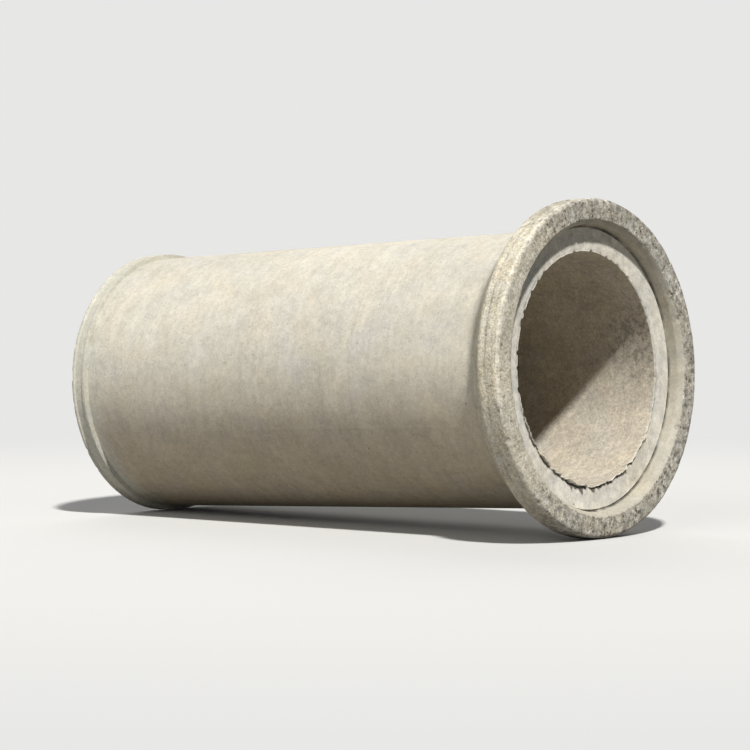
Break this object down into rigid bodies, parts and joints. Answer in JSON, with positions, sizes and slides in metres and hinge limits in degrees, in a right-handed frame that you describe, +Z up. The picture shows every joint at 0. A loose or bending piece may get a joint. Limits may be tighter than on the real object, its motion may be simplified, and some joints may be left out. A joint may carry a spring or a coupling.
{
  "type": "concrete sewer pipe",
  "caption": "Precast concrete sewer pipe with a short coned bell at one end and a spigot with a gasket groove at the other, lying on level ground.",
  "frame": {"origin": "on the ground under the middle of the pipe, the centre of the bounding box's bottom face", "axes": "+Z up; +Y along the ground from the bell to the spigot, so the bell's mouth faces -Y; the pipe's own axis drops 2.76 degrees from +Y, because the bell is wider than the spigot; +X to the right of someone who looks along +Y"},
  "size_m": [1.1598, 2.103, 1.1617],
  "materials": {
    "concrete": "matte"
  },
  "bodies": {
    "root": {"concrete_pipe": "concrete"}
  },
  "joints": []
}
